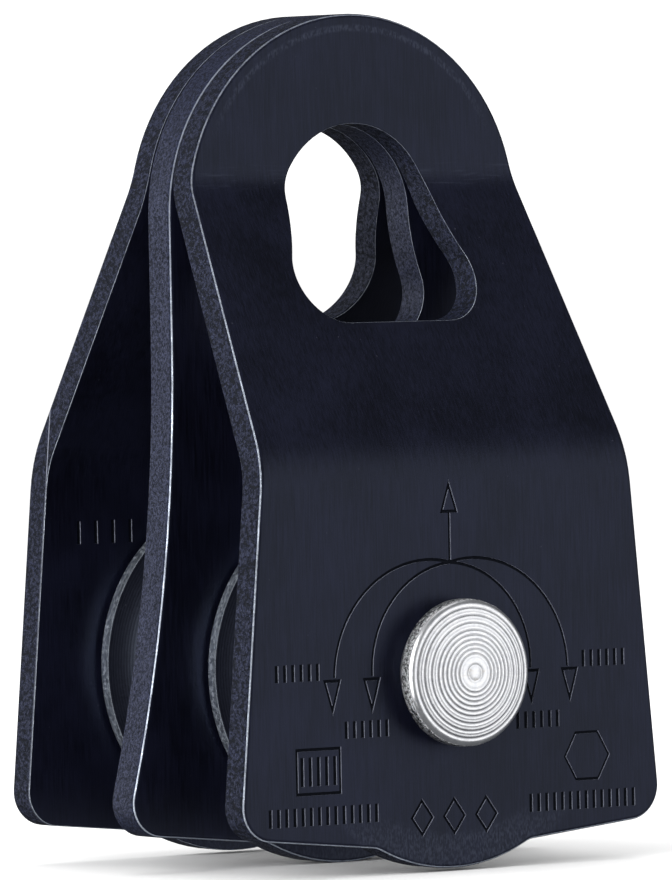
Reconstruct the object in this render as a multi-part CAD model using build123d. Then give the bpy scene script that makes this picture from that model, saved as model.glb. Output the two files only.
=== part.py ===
from build123d import *
from math import atan2, cos, hypot, pi, radians, sin, sqrt, tan
import os

# Double rope pulley: three side plates on one riveted axle, with a sheave on its own ball bearing in each gap.
# Frame, in mm: the origin is the centre of the eye's round top, on the middle plate's mid-plane.
# +X runs across the plates, -Y points out of the front plate, +Z points up, and the axle lies below along Y.

# ---- Plates
OUTER_T = 2.5                       # outer plate stock
MIDDLE_T = 3.0                      # middle plate stock
HEAD_R = 15.4                       # round top, about the origin
AXLE_Z = -35.15                     # axle centre below the origin
TAPER = radians(5.15)               # each flank of an outer plate leans out by this much
LAP_GAP = 0.15                      # between neighbouring plates where they lie together at the eye
ROPE_GAP = 12.1                     # between neighbouring plates where the sheave runs
BEND_TOP_Z = 2.6                    # upper bend line, on the outer face
BEND_LOW_Z = -18.8                  # lower bend line, on the outer face
BEND_TOP_R = 4.5                    # inside radius, on the outer face
BEND_LOW_R = 6.5                    # inside radius, on the inner face
FOOT_DROP = 13.9                    # from the axle to the bottom edge, carried on to the centre line
FOOT_RISE = 0.1                     # the bottom edge climbs outward by this slope
FOOT_CORNER_R = 2.7
LOBE_R = 15.0                       # round guard below the sheave, about the axle
LOBE_FILLET_R = 2.0
MIDDLE_EXTRA = 0.25                 # the middle plate reaches this much lower
WAIST_Z = -10.0                     # the middle plate's flank is upright above this height
FLARE_R = 140.0                     # and sweeps out along this radius below it
EDGE_R = 0.35                       # rolled edge of the stamped plates
BACK_EDGE_R = 0.15                  # softened edge on the other side
EYE_EDGE_R = 0.12                   # crisper edge around the eye

# ---- Eye
EYE_R = 6.9                         # round top, about the origin
EYE_FLANK_R = 18.0                  # hollow curve from the round top to the wide foot
EYE_HALF_W = 8.3                    # widest, near the foot
EYE_CORNER_R = 3.7
EYE_FOOT_OUTER_Z = -8.4             # flat foot of the eye, in the sloping outer plates
EYE_FOOT_MIDDLE_Z = -10.0

# ---- Axle, bearings and sheaves
AXLE_R = 4.0
RIVET_NECK_R = 4.9                  # the head stands on this neck
RIVET_NECK_H = 0.75
RIVET_LIP_R = 5.7
RIVET_LIP_H = (1.1, 2.1)            # the lip's full radius runs between these heights
RIVET_FACE_R = 5.35                 # edge of the domed face
RIVET_FACE_H = 2.33
RIVET_CROWN_H = 3.0                 # top of the domed face
HEAD_SLACK = 0.1                    # between a rivet head and the plate that turns under it
PLATE_BORE_SLACK = 0.05             # radial, between the axle and an outer plate
SPACER_R = 5.2
SPACER_SLACK = 0.1                  # between the outer spacer and the outer plate
BEARING_R = 8.0
BEARING_W = 5.0
INNER_SHOULDER_R = 5.3
OUTER_SHOULDER_R = 6.7
BALL_R = 0.794
BALL_PITCH_R = 6.0
BALL_COUNT = 13
BALL_SLACK = 0.02                   # between a ball and the bottom of its raceway
CAGE_R = (5.5, 6.5)
CAGE_HALF_W = 1.2
POCKET_SLACK = 0.04
SHIELD_T = 0.3
SHIELD_INSET = 0.15
SHIELD_R = (5.4, 7.1)
SHEAVE_R = 13.0
SHEAVE_W = 11.3
SHOULDER_R = 7.2                    # bore of the sheave beside its bearing seat
GROOVE_R = 4.9                      # rope groove, for rope up to 9 mm
GROOVE_ROOT_R = 9.0
RIM_EDGE_R = 0.33                   # the two rims beside the groove

# ---- Marks pressed into the plates; every height is above the axle
MARK_DEPTH = 0.12
MARK_W = 0.24                       # width of a drawn line
STROKE_W = 0.34                     # width of a tally stroke
STROKE_PITCH = 0.75
ARROW_HALF_W = 0.85
UPRIGHT_ARROW = (14.7, 12.15)       # tip and base
UPRIGHT_LINE = (8.35, 12.15)
HANGING_ARROW = (-2.9, -0.1)        # tip and base
HANGING_ARROW_X = (7.45, 11.1)
LOAD_ARCS = ((2.05, -0.2, 8.85), (-0.6, 0.4, 8.0))                            # hub x, hub height, radius
CENTRE_TALLIES = ((0, 16.6, 6, 1.8), (-12.5, -7.0, 5, 2.2))                   # x, height, strokes, length
SIDE_TALLIES = ((14.3, 0.5, 6, 1.3), (8.0, -4.0, 6, 1.3), (12.1, -10.4, 14, 1.4))
BOX_MARK = (-12.5, -7.0, 4.2, 3.6)                                            # x, height, width, length
HEXAGON_MARK = (12.6, -7.0, 2.2)                                              # x, height, radius
DIAMOND_X = (-3.0, 0.0, 3.0)
DIAMOND_Z = -11.0
DIAMOND_HALF = (1.1, 1.5)
REAR_TALLY = (-12.0, 10.6, 4, 1.8)
REAR_PITCH = 1.6

# ---- Worked out from the above
LAP_Y = MIDDLE_T / 2 + LAP_GAP + OUTER_T           # outer face of an outer plate at the eye
FACE_Y = MIDDLE_T / 2 + ROPE_GAP + OUTER_T         # outer face of an outer plate beside the axle
SLOPE = atan2(FACE_Y - LAP_Y, BEND_TOP_Z - BEND_LOW_Z)
SPACER_L = (ROPE_GAP - BEARING_W - SPACER_SLACK) / 2
BEARING_Y = MIDDLE_T / 2 + SPACER_L + BEARING_W / 2
REACH = 60.0                                       # longer than the object, for cutting tools


def save(shape, name):
    export_step(shape, f"parts/{name}.step")


def mirror_to_rear(shape):
    return mirror(shape, about=Plane.XZ)


def across(sketch, y_from, y_to):
    """A prism of a front-view sketch, from y_from up to y_to."""
    return extrude(Pos(0, y_to, 0) * (Plane.XZ * sketch), amount=y_to - y_from)


def disc(radius, y_from, y_to):
    """A disc about the axle."""
    return across(Pos(0, AXLE_Z) * Circle(radius), y_from, y_to)


def ring(r_in, r_out, y_from, y_to):
    """A ring about the axle."""
    return across(Pos(0, AXLE_Z) * (Circle(r_out) - Circle(r_in)), y_from, y_to)


# ---- Outlines in the front view, as (x, z)
def flank_x(z):
    """Half-width of an outer plate where its straight flank is at height z."""
    return HEAD_R / cos(TAPER) - z * tan(TAPER)


def flare_x(z):
    """Half-width of the middle plate at height z on its flared flank."""
    return HEAD_R + FLARE_R - sqrt(FLARE_R ** 2 - (WAIST_Z - z) ** 2)


def foot_corner(half_width, drop):
    """Where a flank meets the bottom edge, which starts drop below the axle."""
    z = AXLE_Z - drop
    for _ in range(20):
        z = AXLE_Z - drop + FOOT_RISE * half_width(z)
    return half_width(z), z


def lobe_corner(drop, lobe_r):
    """Where the bottom edge meets the round guard."""
    a = 1 + FOOT_RISE ** 2
    b = -2 * FOOT_RISE * drop
    c = drop ** 2 - lobe_r ** 2
    x = (-b + sqrt(b ** 2 - 4 * a * c)) / (2 * a)
    return x, AXLE_Z - drop + FOOT_RISE * x


def mirrored(point):
    return -point[0], point[1]


def round_off(face, points, radius):
    """The face with its corners at these points rounded."""
    def chosen(vertex):
        return any(hypot(vertex.X - x, vertex.Y - z) < 0.01 for x, z in points)

    return fillet(face.vertices().filter_by(chosen), radius)


def plate_sketch(foot, flank_top, flank, extra=0.0):
    """A plate's face: round top, two flanks, rounded foot corners and the guard below the sheave."""
    lobe = lobe_corner(FOOT_DROP + extra, LOBE_R + extra)
    lobe_foot = (0, AXLE_Z - LOBE_R - extra)
    right = flank(1)
    left = flank(-1)
    edges = [
        ThreePointArc(mirrored(flank_top), (0, HEAD_R), flank_top),
        *right,
        Line(foot, lobe),
        ThreePointArc(lobe, lobe_foot, mirrored(lobe)),
        Line(mirrored(lobe), mirrored(foot)),
        *left,
    ]
    face = make_face(Curve() + edges)
    face = round_off(face, [foot, mirrored(foot)], FOOT_CORNER_R)
    return round_off(face, [lobe, mirrored(lobe)], LOBE_FILLET_R)


def outer_sketch():
    top = (HEAD_R * cos(TAPER), HEAD_R * sin(TAPER))
    foot = foot_corner(flank_x, FOOT_DROP)

    def flank(side):
        return [Line((side * top[0], top[1]), (side * foot[0], foot[1]))]

    return plate_sketch(foot, top, flank)


def middle_sketch():
    foot = foot_corner(flare_x, FOOT_DROP + MIDDLE_EXTRA)
    halfway = (WAIST_Z + foot[1]) / 2

    def flank(side):
        waist = (side * HEAD_R, WAIST_Z)
        bend = (side * flare_x(halfway), halfway)
        return [Line((side * HEAD_R, 0), waist), ThreePointArc(waist, bend, (side * foot[0], foot[1]))]

    return plate_sketch(foot, (HEAD_R, 0), flank, MIDDLE_EXTRA)


def eye_sketch(foot_z):
    """The eye: round top, hollow flanks, wide flat foot with rounded corners."""
    corner = (EYE_HALF_W - EYE_CORNER_R, foot_z + EYE_CORNER_R)
    # The flank is an arc that touches the round top and the corner from outside.
    a = EYE_R + EYE_FLANK_R
    b = EYE_CORNER_R + EYE_FLANK_R
    span = hypot(*corner)
    along = (a ** 2 - b ** 2 + span ** 2) / (2 * span)
    off = sqrt(a ** 2 - along ** 2)
    ux, uz = corner[0] / span, corner[1] / span
    hub = (along * ux - off * uz, along * uz + off * ux)
    top_end = (hub[0] * EYE_R / a, hub[1] * EYE_R / a)
    reach = EYE_CORNER_R / b
    low_end = tuple(c + (h - c) * reach for c, h in zip(corner, hub))
    middle = hypot(top_end[0] + low_end[0] - 2 * hub[0], top_end[1] + low_end[1] - 2 * hub[1])
    waist = tuple(h + EYE_FLANK_R * (t + l - 2 * h) / middle for h, t, l in zip(hub, top_end, low_end))
    turn = radians(-35)
    outside = (corner[0] + EYE_CORNER_R * cos(turn), corner[1] + EYE_CORNER_R * sin(turn))
    foot = (corner[0], foot_z)

    edges = [
        ThreePointArc(mirrored(top_end), (0, EYE_R), top_end),
        ThreePointArc(top_end, waist, low_end),
        ThreePointArc(low_end, outside, foot),
        Line(foot, mirrored(foot)),
        ThreePointArc(mirrored(foot), mirrored(outside), mirrored(low_end)),
        ThreePointArc(mirrored(low_end), mirrored(waist), mirrored(top_end)),
    ]
    return make_face(Curve() + edges)


# ---- Plates
def bent_sheet():
    """The outer plate's stock seen from the side: flat at the eye, sloping out, then flat beside the sheave."""
    lean = OUTER_T * tan(SLOPE / 2)
    bends = [
        ((-LAP_Y, BEND_TOP_Z), BEND_TOP_R),
        ((-FACE_Y, BEND_LOW_Z), BEND_LOW_R + OUTER_T),
        ((-FACE_Y + OUTER_T, BEND_LOW_Z - lean), BEND_LOW_R),
        ((-LAP_Y + OUTER_T, BEND_TOP_Z - lean), BEND_TOP_R + OUTER_T),
    ]
    points = [
        (-LAP_Y, REACH / 2),
        bends[0][0],
        bends[1][0],
        (-FACE_Y, -REACH),
        (-FACE_Y + OUTER_T, -REACH),
        bends[2][0],
        bends[3][0],
        (-LAP_Y + OUTER_T, REACH / 2),
    ]
    face = make_face(Polyline(*points, close=True))
    for point, radius in bends:
        face = round_off(face, [point], radius)
    return extrude(Pos(-REACH / 2, 0, 0) * (Plane.YZ * face), amount=REACH)


def rim_edges(solid, outward):
    """The edges around the faces that look along outward, leaving out the bend lines between them."""
    def looks_out(face):
        return face.normal_at().dot(outward) > 0.5

    edges = []
    for face in filter(looks_out, solid.faces()):
        for edge in face.edges():
            if edge in edges:
                edges.remove(edge)
            else:
                edges.append(edge)
    return edges


def around_eye(edge):
    middle = edge.center()
    return abs(middle.X) <= EYE_HALF_W and -HEAD_R < middle.Z < HEAD_R - 1


def rolled(plate):
    """The plate with its front rim rolled over, and with softer edges around the eye and at the back."""
    front, back = Vector(0, -1, 0), Vector(0, 1, 0)
    plate = fillet([edge for edge in rim_edges(plate, front) if not around_eye(edge)], EDGE_R)
    plate = fillet([edge for edge in rim_edges(plate, front) if around_eye(edge)], EYE_EDGE_R)
    return fillet(rim_edges(plate, back), BACK_EDGE_R)


def outer_plate():
    plate = rolled(bent_sheet() & across(outer_sketch() - eye_sketch(EYE_FOOT_OUTER_Z), -REACH / 2, REACH / 2))
    return plate - disc(AXLE_R + PLATE_BORE_SLACK, -REACH / 2, 0)


def middle_plate():
    half = MIDDLE_T / 2
    plate = rolled(across(middle_sketch() - eye_sketch(EYE_FOOT_MIDDLE_Z), -half, half))
    return plate - disc(AXLE_R, -half, half)


# ---- Marks: a load diagram and plain tallies, with no lettering
def outlined(face):
    """The mark's line, drawn just inside the edge of a face."""
    return face - offset(face, -MARK_W, kind=Kind.INTERSECTION)


def arrow_head(x, heights):
    tip_z, base_z = (AXLE_Z + height for height in heights)
    corners = [(x - ARROW_HALF_W, base_z), (x + ARROW_HALF_W, base_z), (x, tip_z)]
    return outlined(make_face(Polyline(*corners, close=True)))


def load_arc(hub_x, height, radius, side):
    """A line from the foot of the upright arrow, round to the top of a hanging arrow."""
    band = Circle(radius + MARK_W / 2) - Circle(radius - MARK_W / 2)
    window = Pos(side * REACH / 4, AXLE_Z + REACH / 4) * Rectangle(REACH / 2, REACH / 2)
    return Pos(side * hub_x, AXLE_Z + height) * band & window


def tally(x, height, count, length, pitch=STROKE_PITCH):
    """A row of upright strokes centred on x."""
    start = x - pitch * (count - 1) / 2
    return [Pos(start + pitch * i, AXLE_Z + height) * Rectangle(STROKE_W, length) for i in range(count)]


def diamond(x):
    half_w, half_h = DIAMOND_HALF
    corners = [(x - half_w, 0), (x, half_h), (x + half_w, 0), (x, -half_h)]
    return Pos(0, AXLE_Z + DIAMOND_Z) * outlined(make_face(Polyline(*corners, close=True)))


def front_marks():
    line_z = AXLE_Z + sum(UPRIGHT_LINE) / 2
    marks = [arrow_head(0, UPRIGHT_ARROW)]
    marks.append(Pos(0, line_z) * Rectangle(MARK_W, UPRIGHT_LINE[1] - UPRIGHT_LINE[0]))
    for side in (-1, 1):
        marks += [load_arc(*arc, side) for arc in LOAD_ARCS]
        marks += [arrow_head(side * x, HANGING_ARROW) for x in HANGING_ARROW_X]
        for x, height, count, length in SIDE_TALLIES:
            marks += tally(side * x, height, count, length)
    for row in CENTRE_TALLIES:
        marks += tally(*row)
    x, height, width, length = BOX_MARK
    marks.append(Pos(x, AXLE_Z + height) * outlined(Rectangle(width, length)))
    x, height, radius = HEXAGON_MARK
    marks.append(Pos(x, AXLE_Z + height) * (RegularPolygon(radius, 6) - RegularPolygon(radius - MARK_W, 6)))
    marks += [diamond(x) for x in DIAMOND_X]
    return marks


def front_plate():
    plate = outer_plate()
    for mark in front_marks():
        plate -= across(mark, -FACE_Y - 1, -FACE_Y + MARK_DEPTH)
    return plate


def rear_plate():
    plate = mirror_to_rear(outer_plate())
    inner_y = FACE_Y - OUTER_T
    for mark in tally(*REAR_TALLY, pitch=REAR_PITCH):
        plate -= across(mark, inner_y - 1, inner_y + MARK_DEPTH)
    return plate


# ---- Axle
def axle():
    """A plain shaft with a formed head at each end: a neck, a thick lip and a domed face."""
    under = FACE_Y + HEAD_SLACK
    rim = (RIVET_FACE_R, under + RIVET_FACE_H)
    crown = (0, under + RIVET_CROWN_H)
    rise = RIVET_CROWN_H - RIVET_FACE_H
    dome_r = (RIVET_FACE_R ** 2 + rise ** 2) / (2 * rise)
    midway = (RIVET_FACE_R / 2, crown[1] - dome_r + sqrt(dome_r ** 2 - RIVET_FACE_R ** 2 / 4))
    side = Polyline(
        (0, 0), (AXLE_R, 0), (AXLE_R, under), (RIVET_NECK_R, under), (RIVET_NECK_R, under + RIVET_NECK_H),
        (RIVET_LIP_R, under + RIVET_LIP_H[0]), (RIVET_LIP_R, under + RIVET_LIP_H[1]), rim,
    )
    outline = make_face(Curve() + [side, ThreePointArc(rim, midway, crown), Line(crown, (0, 0))])
    half = Pos(0, 0, AXLE_Z) * revolve(outline, Axis.Y)
    return half + mirror_to_rear(half)


# ---- Sheave and bearing, for the front gap; the rear gap's are mirrored
def bearing_ring(r_in, r_out, y_half):
    return ring(r_in, r_out, -BEARING_Y - y_half, -BEARING_Y + y_half)


def sheave():
    half = SHEAVE_W / 2
    body = bearing_ring(SHOULDER_R, SHEAVE_R, half)
    rims = body.edges().filter_by(GeomType.CIRCLE).group_by(SortBy.RADIUS)[-1]
    body = fillet(rims, RIM_EDGE_R)
    body -= disc(BEARING_R, -BEARING_Y - REACH, -BEARING_Y + BEARING_W / 2)
    groove = Pos(GROOVE_ROOT_R + GROOVE_R, -BEARING_Y) * Circle(GROOVE_R)
    return body - Pos(0, 0, AXLE_Z) * revolve(groove, Axis.Y)


def raceway(gap):
    track = Pos(BALL_PITCH_R, -BEARING_Y) * Circle(BALL_R + gap)
    return Pos(0, 0, AXLE_Z) * revolve(track, Axis.Y)


def outer_race():
    race = bearing_ring(OUTER_SHOULDER_R, BEARING_R, BEARING_W / 2)
    for side in (-1, 1):
        y = -BEARING_Y + side * (BEARING_W / 2 - SHIELD_T / 2 - SHIELD_INSET)
        half = SHIELD_T / 2 + SHIELD_INSET
        race -= disc(SHIELD_R[1], y - half, y + half)
    return race - raceway(BALL_SLACK)


def inner_race():
    return bearing_ring(AXLE_R, INNER_SHOULDER_R, BEARING_W / 2) - raceway(BALL_SLACK)


def ball_planes():
    """A plane at each ball's centre, facing straight out from the axle."""
    planes = []
    for i in range(BALL_COUNT):
        turn = 2 * pi * i / BALL_COUNT
        out = Vector(cos(turn), 0, sin(turn))
        planes.append(Plane(Vector(0, -BEARING_Y, AXLE_Z) + out * BALL_PITCH_R, z_dir=out))
    return planes


def balls():
    return Compound(children=[plane * Sphere(BALL_R) for plane in ball_planes()])


def cage():
    body = bearing_ring(*CAGE_R, CAGE_HALF_W)
    for plane in ball_planes():
        body -= plane * Cylinder(BALL_R + POCKET_SLACK, 4 * BALL_R)
    return body


def shield(side):
    y = -BEARING_Y + side * (BEARING_W / 2 - SHIELD_INSET - SHIELD_T / 2)
    return ring(*SHIELD_R, y - SHIELD_T / 2, y + SHIELD_T / 2)


def spacer(y_from):
    return ring(AXLE_R, SPACER_R, y_from - SPACER_L, y_from)


os.makedirs("parts", exist_ok=True)
save(front_plate(), "front_plate")
save(middle_plate(), "middle_plate")
save(rear_plate(), "rear_plate")
save(axle(), "axle")

hub_parts = {
    "sheave": sheave(),
    "outer_race": outer_race(),
    "inner_race": inner_race(),
    "balls": balls(),
    "ball_cage": cage(),
    "outer_shield": shield(-1),
    "inner_shield": shield(1),
    "inner_spacer": spacer(-MIDDLE_T / 2),
    "outer_spacer": spacer(-BEARING_Y - BEARING_W / 2),
}
for name, shape in hub_parts.items():
    save(shape, f"front_{name}")
    save(mirror_to_rear(shape), f"rear_{name}")
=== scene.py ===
import math

import bmesh
import bpy
from mathutils import Matrix, Vector


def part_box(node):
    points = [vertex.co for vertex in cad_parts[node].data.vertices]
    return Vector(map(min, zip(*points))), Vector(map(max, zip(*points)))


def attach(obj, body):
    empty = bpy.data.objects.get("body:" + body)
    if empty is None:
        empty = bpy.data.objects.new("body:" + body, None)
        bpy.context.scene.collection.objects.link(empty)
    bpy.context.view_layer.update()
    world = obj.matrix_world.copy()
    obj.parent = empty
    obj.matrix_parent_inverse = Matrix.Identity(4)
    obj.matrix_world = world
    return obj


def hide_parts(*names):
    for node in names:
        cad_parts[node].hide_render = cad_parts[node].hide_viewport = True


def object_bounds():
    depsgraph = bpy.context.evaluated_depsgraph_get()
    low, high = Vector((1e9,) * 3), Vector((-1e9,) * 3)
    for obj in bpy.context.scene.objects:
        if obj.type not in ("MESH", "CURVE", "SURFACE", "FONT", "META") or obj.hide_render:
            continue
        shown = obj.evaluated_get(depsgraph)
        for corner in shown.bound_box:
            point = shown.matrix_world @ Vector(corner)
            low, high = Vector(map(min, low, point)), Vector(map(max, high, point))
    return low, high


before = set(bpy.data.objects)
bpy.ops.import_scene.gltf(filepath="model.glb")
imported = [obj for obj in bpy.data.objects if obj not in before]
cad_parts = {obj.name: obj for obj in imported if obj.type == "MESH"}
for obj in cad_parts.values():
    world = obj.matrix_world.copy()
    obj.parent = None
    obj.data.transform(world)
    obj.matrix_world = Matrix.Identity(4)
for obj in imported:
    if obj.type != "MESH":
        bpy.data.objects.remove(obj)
cad_low, cad_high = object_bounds()
MM = 0.001

# --- view -----------------------------------------------------------------------------------------
VIEW_AZIMUTH = math.radians(-34.59)
VIEW_ELEVATION = math.radians(1.43)
VIEW_ROLL = math.radians(-1.09)
VIEW_DISTANCE = 0.720
AIM_OFFSET = Vector((0.76, 0.0, -0.13)) * MM
LENS_MM = 378.8

# --- places read from the frame -------------------------------------------------------------------
plate_low, plate_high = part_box("front_plate")
axle_low, axle_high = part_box("axle")
AXLE_Z = (axle_low.z + axle_high.z) / 2
FACE_Y = plate_low.y
HEAD_R = plate_high.z
OUTER_PLATE_T = 2.5 * MM
REAR_INNER_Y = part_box("rear_plate")[1].y - OUTER_PLATE_T
LOBE_R = AXLE_Z - plate_low.z
SHEAVE_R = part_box("front_sheave")[1].x

# --- plate finish ---------------------------------------------------------------------------------
ANODISE_DARK = (0.0010, 0.0010, 0.0030)
ANODISE_LIGHT = (0.0042, 0.0046, 0.0120)
SHEARED_LIGHT = (0.012, 0.015, 0.040)
SHEARED_DARK = (0.0010, 0.0011, 0.0020)
RUBBED_EDGE = (0.52, 0.57, 0.66)
# painted shade on the floor of the pressed marks
MARK_FLOOR_SHADE = (0.0005, 0.0005, 0.0008)
# painted highlight on the walls of the pressed marks
MARK_WALL_HIGHLIGHT = (0.15, 0.16, 0.20)
# painted highlight on the rolled rim; also the colour of the bend scuffs
ROLL_SHEEN_AND_SCUFF = (0.026, 0.030, 0.046)
FIRST_BEND_Z = 2.6 * MM
TOP_BEND_Z = (1.2 * MM, 3.6 * MM)
LOW_BEND_Z = (-20.9 * MM, -17.2 * MM)
PLATE_SLOPE = math.radians(29.2)
DUST = (0.06, 0.06, 0.08)

# --- sheave and steel finish ------------------------------------------------------------------------
SHEAVE_DARK = (0.003, 0.0033, 0.006)
SHEAVE_LIGHT = (0.008, 0.009, 0.015)
SHEAVE_DUST = (0.05, 0.055, 0.07)
RUBBED_LAND = (0.66, 0.73, 0.84)
TURNED_DEPTH = 0.004 * MM
STAIN = 0.25

# --- stage ------------------------------------------------------------------------------------------
FLOOR_SIZE = 30
SEEN_WORLD = 1.25
REFLECTED_WORLD = 0.14
LIGHTS = {"left_key": ((-0.62, -0.30, 0.05), 0.45, 0.70, 7.5),         # place, width, height, watts
          "right_front": ((0.45, -0.66, 0.00), 0.70, 0.70, 2.05),
          "left_back": ((-0.46, 0.66, 0.00), 0.55, 0.80, 4.3),
          "top": ((0.0, 0.1, 0.7), 0.6, 0.5, 1.5)}
LATHE_SEGMENTS = 256


class Shader:
    """One node-based material, with short calls for the nodes that it uses."""

    def __init__(self, name):
        self.material = bpy.data.materials.new(name)
        self.material.use_nodes = True
        self.tree = self.material.node_tree
        self.bsdf = self.tree.nodes["Principled BSDF"]
        self.coords = self.tree.nodes.new("ShaderNodeTexCoord")

    def link(self, value, socket):
        if isinstance(value, bpy.types.NodeSocket):
            self.tree.links.new(value, socket)
        elif value is not None:
            socket.default_value = value

    def node(self, kind, inputs=(), **settings):
        made = self.tree.nodes.new(kind)
        for key, value in settings.items():
            setattr(made, key, value)
        for key, value in dict(inputs).items():
            self.link(value, made.inputs[key])
        return made

    def math(self, operation, a, b=None, c=None, clamp=False):
        made = self.node("ShaderNodeMath", operation=operation, use_clamp=clamp)
        for socket, value in zip(made.inputs, (a, b, c)):
            self.link(value, socket)
        return made.outputs[0]

    def stretched(self, scale):
        """Object coordinates, scaled separately along each axis."""
        scaled = self.node("ShaderNodeVectorMath", {0: self.coords.outputs["Object"], 1: scale},
                           operation="MULTIPLY")
        return scaled.outputs[0]

    def axis(self, index, output="Object"):
        split = self.node("ShaderNodeSeparateXYZ", {0: self.coords.outputs[output]})
        return split.outputs[index]

    def noise(self, scale, vector=None, detail=3.0, roughness=0.55):
        made = self.node("ShaderNodeTexNoise", {"Scale": scale, "Detail": detail, "Roughness": roughness})
        self.link(vector if vector is not None else self.coords.outputs["Object"], made.inputs["Vector"])
        return made.outputs["Fac"]

    def steps(self, value, low, high, out_low=0.0, out_high=1.0):
        made = self.node("ShaderNodeMapRange", {"Value": value, "From Min": low, "From Max": high,
                                                "To Min": out_low, "To Max": out_high},
                         interpolation_type="SMOOTHSTEP")
        return made.outputs["Result"]

    def band(self, value, low, high, soft):
        """1 between low and high, falling to 0 over the soft distance outside."""
        rise = self.steps(value, low - soft, low)
        fall = self.steps(value, high, high + soft, 1.0, 0.0)
        return self.math("MULTIPLY", rise, fall)

    def mix(self, factor, a, b):
        made = self.node("ShaderNodeMix", {0: factor}, data_type="RGBA")
        for socket, value in ((made.inputs[6], a), (made.inputs[7], b)):
            self.link((*value, 1.0) if isinstance(value, tuple) else value, socket)
        return made.outputs[2]

    def radius(self, centre_z):
        """Distance from the line along Y at x = 0, z = centre_z."""
        x = self.axis(0)
        z = self.math("SUBTRACT", self.axis(2), centre_z)
        squared = self.math("ADD", self.math("MULTIPLY", x, x), self.math("MULTIPLY", z, z))
        return self.math("SQRT", squared)

    def bump(self, height, distance, strength=1.0, under=None):
        made = self.node("ShaderNodeBump", {"Height": height, "Distance": distance, "Strength": strength})
        if under is not None:
            self.link(under, made.inputs["Normal"])
        return made.outputs["Normal"]

    def surface(self, colour, roughness, normal, **fixed):
        self.link(colour, self.bsdf.inputs["Base Color"])
        self.link(roughness, self.bsdf.inputs["Roughness"])
        self.link(normal, self.bsdf.inputs["Normal"])
        for key, value in fixed.items():
            self.bsdf.inputs[key.replace("_", " ")].default_value = value
        return self.material


def across_plate(s, lean):
    """1 on a plate's faces and 0 on its sides. lean is the side it slopes out to, -1 or 1, or 0 if flat."""
    below_top = s.steps(s.axis(2), *TOP_BEND_Z, 1.0, 0.0)
    above_low = s.steps(s.axis(2), *LOW_BEND_Z)
    tilt = s.math("MULTIPLY", s.math("MULTIPLY", below_top, above_low), PLATE_SLOPE * abs(lean))
    along_y = s.math("MULTIPLY", s.axis(1, "Normal"), s.math("COSINE", tilt))
    along_z = s.math("MULTIPLY", s.axis(2, "Normal"), s.math("SINE", tilt))
    return s.math("ABSOLUTE", s.math("MULTIPLY_ADD", along_z, lean, along_y))


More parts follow.
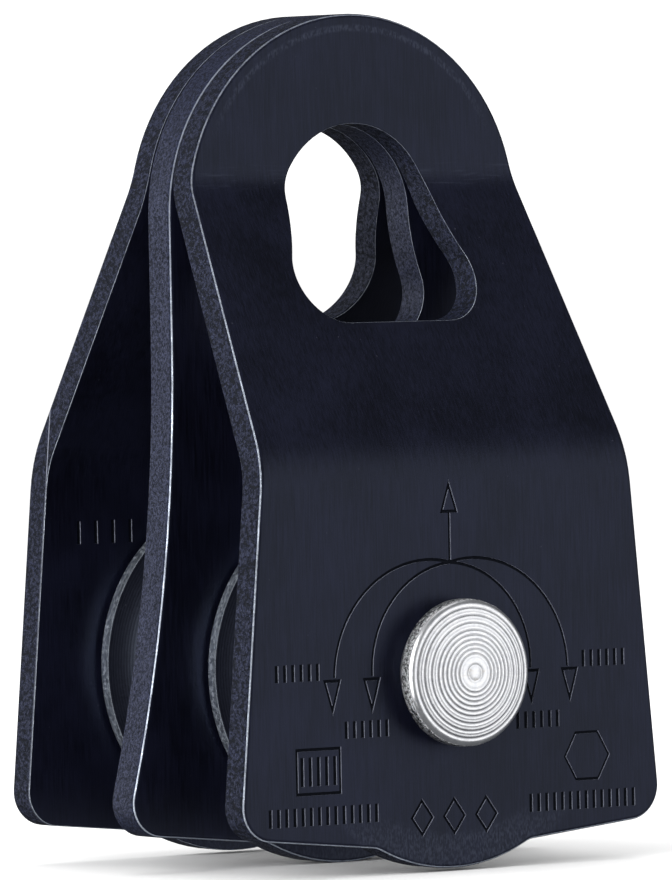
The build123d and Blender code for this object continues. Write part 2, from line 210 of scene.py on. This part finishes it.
def plate_material(name, lean, pitted, marked_y=None):
    """Black anodised plate: lay lines and grain on the faces, and a sheared or machined edge around them."""
    s = Shader(name)
    across = across_plate(s, lean)
    face = s.steps(across, 0.80, 0.92)
    lay = s.noise(1.0, s.stretched((9000, 2500, 350)), detail=2.0)
    grain = s.noise(6500, detail=2.0)
    cloud = s.noise(160, detail=4.0)
    scuff = s.noise(1.0, s.stretched((260, 900, 5200)), detail=4.0, roughness=0.7)
    dust = s.steps(s.noise(2600, detail=1.0), 0.79, 0.83)

    tone = s.math("ADD", s.math("MULTIPLY", lay, 0.55), s.math("MULTIPLY", cloud, 0.45))
    colour = s.mix(s.steps(tone, 0.30, 0.70), ANODISE_DARK, ANODISE_LIGHT)

    # The rim is rolled a little by the press; the light it catches is painted as a lighter band of fine
    # strokes, a painted highlight.
    head_roll_sheen = s.band(s.radius(0.0), HEAD_R - 1.20 * MM, HEAD_R - 0.98 * MM, 0.25 * MM)
    head_roll_sheen = s.math("MULTIPLY", head_roll_sheen, s.steps(s.axis(2), 5 * MM, 11 * MM))
    lobe_roll_sheen = s.band(s.radius(AXLE_Z), LOBE_R - 2.2 * MM, LOBE_R, 0.8 * MM)
    lobe_roll_sheen = s.math("MULTIPLY", lobe_roll_sheen, s.steps(s.axis(2), -45 * MM, -48 * MM))
    strokes = s.steps(s.noise(1.0, s.stretched((7000, 1500, 2600)), detail=3.0), 0.40, 0.66)
    band = s.math("MULTIPLY", s.math("MAXIMUM", head_roll_sheen, lobe_roll_sheen), strokes)
    colour = s.mix(s.math("MULTIPLY", band, 0.50), colour, ROLL_SHEEN_AND_SCUFF)

    # Faint horizontal scuffs where the sheet was bent over the tool.
    bend = s.band(s.axis(2), FIRST_BEND_Z - 0.4 * MM, FIRST_BEND_Z + 0.9 * MM, 0.5 * MM)
    bend = s.math("MULTIPLY", bend, s.steps(scuff, 0.52, 0.72))
    colour = s.mix(s.math("MULTIPLY", bend, 0.35), colour, ROLL_SHEEN_AND_SCUFF)
    colour = s.mix(s.math("MULTIPLY", dust, 0.25), colour, DUST)

    # Around the edge the metal was sheared or machined.
    coarse = s.noise(4200, detail=4.0, roughness=0.8)
    edge_tone = s.steps(coarse, 0.36, 0.64, 0.02, 1.0)
    if pitted:
        torn = s.noise(1.0, s.stretched((3000, 2200, 3000)), detail=4.0, roughness=0.7)
        coarse = s.math("MULTIPLY", coarse, s.steps(torn, 0.57, 0.50))
        edge_tone = s.math("MULTIPLY", edge_tone, s.steps(torn, 0.57, 0.51, 0.02, 1.0))
    edge_colour = s.mix(edge_tone, SHEARED_DARK, SHEARED_LIGHT)
    colour = s.mix(face, edge_colour, colour)

    # Between face and side the tumbled edge is rubbed bright, unevenly; it is painted fainter towards the
    # top, as shade where that edge catches less light.
    wear_and_top_shade = s.steps(s.noise(1.0, s.stretched((1500, 1500, 420)), detail=3.0), 0.30, 0.60, 0.45, 1.0)
    wear_and_top_shade = s.math("MULTIPLY", wear_and_top_shade, s.steps(s.axis(2), -16 * MM, 2 * MM, 1.0, 0.30))
    rubbed = s.math("MULTIPLY", s.band(across, 0.60, 0.76, 0.08), wear_and_top_shade)
    colour = s.mix(rubbed, colour, RUBBED_EDGE)

    # The pressed marks are below the face and hold no gloss; their floor is painted near black as shade, and
    # their walls are painted light as a highlight.
    mark = 0.0
    if marked_y is not None:
        depth = s.math("SUBTRACT", s.axis(1), marked_y)
        sunk = s.band(depth, 0.06 * MM, 0.25 * MM, 0.03 * MM)
        flat = s.steps(s.axis(1, "Normal"), -0.9960, -0.9995)
        mark = s.math("MULTIPLY", sunk, flat)
        colour = s.mix(mark, colour, MARK_FLOOR_SHADE)
        wall_highlight = s.math("MULTIPLY", s.band(depth, 0.01 * MM, 0.13 * MM, 0.01 * MM), s.steps(across, 0.4, 0.2))
        colour = s.mix(wall_highlight, colour, MARK_WALL_HIGHLIGHT)

    edge_rough = s.steps(coarse, 0.36, 0.64, 0.74, 0.42)
    face_rough = s.math("ADD", 0.34, s.math("MULTIPLY", s.math("ADD", grain, cloud), 0.06))
    mixed = s.node("ShaderNodeMix", {0: face, 2: edge_rough, 3: face_rough}, data_type="FLOAT").outputs[0]
    worn = s.math("MULTIPLY_ADD", rubbed, -0.16, mixed)
    roughness = s.math("MULTIPLY_ADD", mark, 0.45, worn, clamp=True)

    fine = s.bump(s.math("ADD", lay, s.math("MULTIPLY", grain, 0.8)), 0.008 * MM, 0.8)
    not_face = s.math("SUBTRACT", 1.0, face)
    pits = s.math("MULTIPLY", coarse, not_face)
    normal = s.bump(pits, (0.12 if pitted else 0.06) * MM, 1.0, fine)
    s.link(rubbed, s.bsdf.inputs["Metallic"])
    return s.surface(colour, roughness, normal, IOR=1.5, Specular_IOR_Level=0.30,
                     Specular_Tint=(0.60, 0.70, 1.0, 1.0))


def turned_material(name, light, dark, pitch, roughness):
    """Metal turned on a lathe: fine rings about the axle, and light staining."""
    s = Shader(name)
    radius = s.radius(AXLE_Z)
    wobble = s.math("MULTIPLY", s.noise(900, detail=2.0), pitch * 0.35)
    turns = s.math("DIVIDE", s.math("ADD", radius, wobble), pitch)
    rings = s.math("PINGPONG", turns, 1.0)
    along = s.math("PINGPONG", s.math("DIVIDE", s.math("ADD", s.axis(1), wobble), pitch), 1.0)
    facing = s.steps(s.math("ABSOLUTE", s.axis(1, "Normal")), 0.35, 0.75)
    height = s.node("ShaderNodeMix", {0: facing, 2: along, 3: rings}, data_type="FLOAT").outputs[0]
    speck = s.noise(3800, detail=4.0, roughness=0.65)
    cloud = s.noise(420, detail=4.0)
    tone = s.math("ADD", s.math("MULTIPLY", height, 0.5), s.math("MULTIPLY", speck, 0.5))
    colour = s.mix(s.steps(tone, 0.25, 0.75), dark, light)
    colour = s.mix(s.math("MULTIPLY", s.steps(cloud, 0.50, 0.70), STAIN), colour, dark)
    rough = s.math("ADD", roughness - 0.06, s.math("MULTIPLY", speck, 0.14), clamp=True)
    normal = s.bump(s.math("ADD", height, s.math("MULTIPLY", speck, 0.6)), TURNED_DEPTH)
    return s.surface(colour, rough, normal, Metallic=1.0, IOR=1.5)


def sheave_material():
    """Black anodised aluminium, turned in fine rings, with its two outer lands rubbed bright by the rope."""
    s = Shader("turned_sheave")
    radius = s.radius(AXLE_Z)
    wobble = s.math("MULTIPLY", s.noise(900, detail=2.0), 0.03 * MM)
    rings = s.math("PINGPONG", s.math("DIVIDE", s.math("ADD", radius, wobble), 0.10 * MM), 1.0)
    speck = s.noise(3800, detail=4.0, roughness=0.65)
    dust = s.steps(s.noise(3000, detail=1.0), 0.76, 0.82)
    tone = s.math("MULTIPLY_ADD", rings, 0.4, s.math("MULTIPLY", speck, 0.6))
    colour = s.mix(s.steps(tone, 0.25, 0.75), SHEAVE_DARK, SHEAVE_LIGHT)
    colour = s.mix(s.math("MULTIPLY", dust, 0.3), colour, SHEAVE_DUST)
    land = s.steps(radius, SHEAVE_R - 0.26 * MM, SHEAVE_R - 0.14 * MM)
    land = s.math("MULTIPLY", land, s.steps(speck, 0.25, 0.60, 0.65, 1.0))
    colour = s.mix(land, colour, RUBBED_LAND)
    rough = s.math("MULTIPLY_ADD", speck, 0.14, s.math("MULTIPLY_ADD", land, -0.06, 0.34))
    normal = s.bump(s.math("MULTIPLY_ADD", speck, 0.6, rings), TURNED_DEPTH)
    s.link(land, s.bsdf.inputs["Metallic"])
    return s.surface(colour, rough, normal, IOR=1.5, Specular_IOR_Level=0.34,
                     Specular_Tint=(0.66, 0.76, 1.0, 1.0))


def groove_shade_mask(s, radius):
    """1 in the deep turned grooves of a rivet head's face, and less in the shallow ones: where shade is
    painted.
    """
    made = s.node("ShaderNodeValToRGB", {"Fac": s.math("DIVIDE", radius, DOME_EDGE_R)})
    ramp = made.color_ramp
    ramp.interpolation = "CONSTANT"
    ramp.elements[1].color = (0, 0, 0, 1)
    for ring_mm, depth in RINGS:
        for edge, value in ((-RING_HALF_W, depth / DEEP), (RING_HALF_W, 0.0)):
            ramp.elements.new((ring_mm * MM + edge) / DOME_EDGE_R).color = (value, value, value, 1)
    return made.outputs["Color"]


def rivet_material():
    """Bright riveted steel: a turned face with painted shade in its grooves, and a side that the riveting
    left rough, speckled with painted shade and painted glints.
    """
    s = Shader("bright_rivet")
    radius = s.radius(AXLE_Z)
    facing = s.steps(s.math("ABSOLUTE", s.axis(1, "Normal")), 0.30, 0.60)
    rub = s.noise(1.0, s.stretched((1900, 900, 2600)), detail=5.0, roughness=0.7)
    speck = s.noise(7500, detail=3.0, roughness=0.7)
    face_colour = s.mix(s.steps(rub, 0.34, 0.66), (0.82, 0.83, 0.86), (0.97, 0.975, 0.99))
    # The turned grooves are painted dark, as shade in them.
    face_colour = s.mix(s.math("MULTIPLY", groove_shade_mask(s, radius), 0.50), face_colour, (0.16, 0.16, 0.18))
    centre = s.steps(radius, 2.0 * MM, 0.4 * MM)
    warm = s.math("MULTIPLY", centre, s.steps(rub, 0.50, 0.66, 0.0, 0.5))
    face_colour = s.mix(warm, face_colour, (0.60, 0.55, 0.48))
    # The side is beaten rough; its speckle from near black to near white is painted shade and painted glints
    # on that rough metal.
    side_tone = s.noise(1.0, s.stretched((3800, 3800, 3800)), detail=4.0, roughness=0.8)
    side_glints_and_shade = s.mix(s.steps(side_tone, 0.41, 0.57), (0.010, 0.011, 0.014), (0.93, 0.94, 0.96))
    colour = s.mix(facing, side_glints_and_shade, face_colour)
    rough = s.node("ShaderNodeMix", {0: facing, 2: 0.42, 3: s.steps(speck, 0.3, 0.7, 0.30, 0.42)},
                   data_type="FLOAT").outputs[0]
    ripples = s.bump(speck, 0.005 * MM)
    beaten = s.math("MULTIPLY", side_tone, s.math("SUBTRACT", 1.0, facing))
    normal = s.bump(beaten, 0.22 * MM, 1.0, ripples)
    return s.surface(colour, rough, normal, Metallic=1.0, IOR=1.5)


def steel_material(name, light, dark, roughness, grain_scale):
    """Small steel parts: a fine grain, rubbed places and a thin oil stain."""
    s = Shader(name)
    grain = s.noise(grain_scale, detail=4.0, roughness=0.65)
    rubbed = s.noise(700, detail=3.0)
    colour = s.mix(s.steps(grain, 0.30, 0.70), dark, light)
    colour = s.mix(s.math("MULTIPLY", s.steps(rubbed, 0.50, 0.68), 0.35), colour, dark)
    rough = s.math("ADD", roughness - 0.05, s.math("MULTIPLY", rubbed, 0.12), clamp=True)
    normal = s.bump(grain, 0.003 * MM)
    return s.surface(colour, rough, normal, Metallic=1.0, IOR=1.5)


def lathe(name, profile, centre_z):
    """A solid turned about the line along Y at z = centre_z, from a profile of (radius, y), end to end."""
    mesh = bpy.data.meshes.new(name)
    bm = bmesh.new()
    rows = []
    for radius, y in profile:
        if radius == 0:
            rows.append([bm.verts.new((0, y, centre_z))])
            continue
        row = []
        for i in range(LATHE_SEGMENTS):
            turn = 2 * math.pi * i / LATHE_SEGMENTS
            row.append(bm.verts.new((radius * math.sin(turn), y, centre_z + radius * math.cos(turn))))
        rows.append(row)
    for a, b in zip(rows, rows[1:]):
        for i in range(LATHE_SEGMENTS):
            j = (i + 1) % LATHE_SEGMENTS
            if len(a) == 1:
                bm.faces.new((a[0], b[i], b[j]))
            elif len(b) == 1:
                bm.faces.new((a[i], b[0], a[j]))
            else:
                bm.faces.new((a[i], b[i], b[j], a[j]))
    bmesh.ops.recalc_face_normals(bm, faces=bm.faces)
    bm.to_mesh(mesh)
    bm.free()
    mesh.shade_smooth()
    piece = bpy.data.objects.new(name, mesh)
    bpy.context.scene.collection.objects.link(piece)
    return piece


# --- the axle's riveted heads, with their turned rings --------------------------------------------
SHANK_R = 4.0 * MM
HEAD_H = 3.0 * MM
DOME_EDGE_R = 5.30 * MM
DOME_RISE = 0.66 * MM
DOME_R = (DOME_EDGE_R ** 2 + DOME_RISE ** 2) / (2 * DOME_RISE)
SIDE_OF_HEAD_MM = ((5.42, 0.74), (5.52, 0.85), (5.59, 0.98), (5.63, 1.12), (5.64, 1.25),
                   (5.64, 1.82), (5.57, 1.93), (4.98, 2.22), (4.90, 2.32), (4.90, 3.00))
DEEP, SHALLOW = 0.045 * MM, 0.016 * MM
RINGS = ((1.20, SHALLOW), (1.50, DEEP), (1.85, DEEP), (2.20, DEEP), (2.58, DEEP), (2.95, DEEP), (3.32, DEEP),
         (3.60, SHALLOW), (3.87, DEEP), (4.16, SHALLOW), (4.45, DEEP), (4.72, SHALLOW), (5.00, DEEP))
RING_HALF_W = 0.06 * MM
PIP_R = 0.62 * MM


def head_profile(crown_y, inward):
    """From the crown of a head's domed face out over its lip and back to the shank. inward is 1 in front."""
    def dome(radius, depth=0.0):
        return radius, crown_y + inward * (DOME_R - math.sqrt(DOME_R ** 2 - radius ** 2) + depth)

    points = [(0, crown_y + inward * SHALLOW), dome(PIP_R - RING_HALF_W, SHALLOW), dome(PIP_R, DEEP),
              dome(PIP_R + RING_HALF_W)]
    for radius_mm, depth in RINGS:
        radius = radius_mm * MM
        points += [dome(radius - RING_HALF_W), dome(radius, depth), dome(radius + RING_HALF_W)]
    points.append(dome(DOME_EDGE_R))
    points += [(radius * MM, crown_y + inward * height * MM) for radius, height in SIDE_OF_HEAD_MM]
    points.append((SHANK_R, crown_y + inward * HEAD_H))
    return points


front = head_profile(axle_low.y, 1)
rear = head_profile(axle_high.y, -1)
axle = lathe("riveted_axle", front + rear[::-1], AXLE_Z)
axle.data.materials.append(rivet_material())
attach(axle, "frame")
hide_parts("axle")

# --- materials for the CAD nodes ------------------------------------------------------------------
sheave_finish = sheave_material()
race_finish = turned_material("ground_race", (0.62, 0.62, 0.63), (0.40, 0.40, 0.41), 0.05 * MM, 0.22)
spacer_finish = turned_material("spacer_metal", (0.66, 0.67, 0.69), (0.42, 0.43, 0.45), 0.11 * MM, 0.34)
shield_finish = turned_material("shield_steel", (0.56, 0.56, 0.55), (0.38, 0.38, 0.38), 0.16 * MM, 0.30)
ball_finish = steel_material("ball_steel", (0.80, 0.80, 0.81), (0.62, 0.62, 0.63), 0.10, 5000)
cage_finish = steel_material("cage_steel", (0.50, 0.48, 0.44), (0.32, 0.31, 0.28), 0.36, 4200)
PLATES = {"front_plate": plate_material("anodised_front_plate", -1, pitted=True, marked_y=FACE_Y),
          "middle_plate": plate_material("anodised_middle_plate", 0, pitted=False),
          "rear_plate": plate_material("anodised_rear_plate", 1, pitted=True, marked_y=REAR_INNER_Y)}
FINISH = {"sheave": sheave_finish, "race": race_finish, "spacer": spacer_finish,
          "shield": shield_finish, "balls": ball_finish, "cage": cage_finish}
for node_name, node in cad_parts.items():
    finish = PLATES.get(node_name) or FINISH.get(node_name.split("_")[-1])
    if finish is not None:
        node.data.materials.clear()
        node.data.materials.append(finish)


# --- floor, light and camera ----------------------------------------------------------------------
def stage_floor():
    """A plain pale floor under the part."""
    bpy.ops.mesh.primitive_plane_add(size=FLOOR_SIZE, location=(0, 0, cad_low.z))
    floor = bpy.context.object
    floor.name = "studio_floor"
    s = Shader("pale_floor")
    tone = s.noise(3.0, detail=3.0)
    colour = s.mix(tone, (0.86, 0.86, 0.86), (0.90, 0.90, 0.90))
    floor.data.materials.append(s.surface(colour, 0.8, s.bump(s.noise(40), 0.0002), Specular_IOR_Level=0.1))
    floor.visible_glossy = False


def softbox(name, place, aim, width, height, watts):
    light = bpy.data.lights.new(name, "AREA")
    light.shape = "RECTANGLE"
    light.size = width
    light.size_y = height
    light.energy = watts
    lamp = bpy.data.objects.new(name, light)
    lamp.location = place
    lamp.rotation_euler = (Vector(aim) - Vector(place)).to_track_quat("-Z", "Y").to_euler()
    bpy.context.scene.collection.objects.link(lamp)


def studio_world():
    """White behind the part, and a softer grey in what it reflects."""
    world = bpy.data.worlds.new("studio")
    bpy.context.scene.world = world
    world.use_nodes = True
    tree = world.node_tree
    seen = tree.nodes.new("ShaderNodeBackground")
    seen.inputs["Color"].default_value = (1, 1, 1, 1)
    seen.inputs["Strength"].default_value = SEEN_WORLD
    around = tree.nodes["Background"]
    around.inputs["Color"].default_value = (0.92, 0.95, 1.0, 1)
    around.inputs["Strength"].default_value = REFLECTED_WORLD
    rays = tree.nodes.new("ShaderNodeLightPath")
    choose = tree.nodes.new("ShaderNodeMixShader")
    tree.links.new(rays.outputs["Is Glossy Ray"], choose.inputs[0])
    tree.links.new(seen.outputs[0], choose.inputs[1])
    tree.links.new(around.outputs[0], choose.inputs[2])
    tree.links.new(choose.outputs[0], tree.nodes["World Output"].inputs["Surface"])


def add_camera(aim):
    outward = Vector((math.sin(VIEW_AZIMUTH) * math.cos(VIEW_ELEVATION),
                      -math.cos(VIEW_AZIMUTH) * math.cos(VIEW_ELEVATION), math.sin(VIEW_ELEVATION)))
    data = bpy.data.cameras.new("camera")
    data.lens = LENS_MM
    data.clip_start = 0.01
    camera = bpy.data.objects.new("camera", data)
    turn = outward.to_track_quat("Z", "Y").to_matrix() @ Matrix.Rotation(VIEW_ROLL, 3, "Z")
    camera.matrix_world = Matrix.LocRotScale(aim + outward * VIEW_DISTANCE, turn.to_quaternion(), None)
    bpy.context.scene.collection.objects.link(camera)
    bpy.context.scene.camera = camera


middle = (Vector(cad_low) + Vector(cad_high)) / 2
stage_floor()
for light_name, (place, width, height, watts) in LIGHTS.items():
    softbox(light_name, place, middle, width, height, watts)
studio_world()
add_camera(middle + AIM_OFFSET)
bpy.context.scene.view_settings.view_transform = "Standard"

bpy.context.view_layer.update()
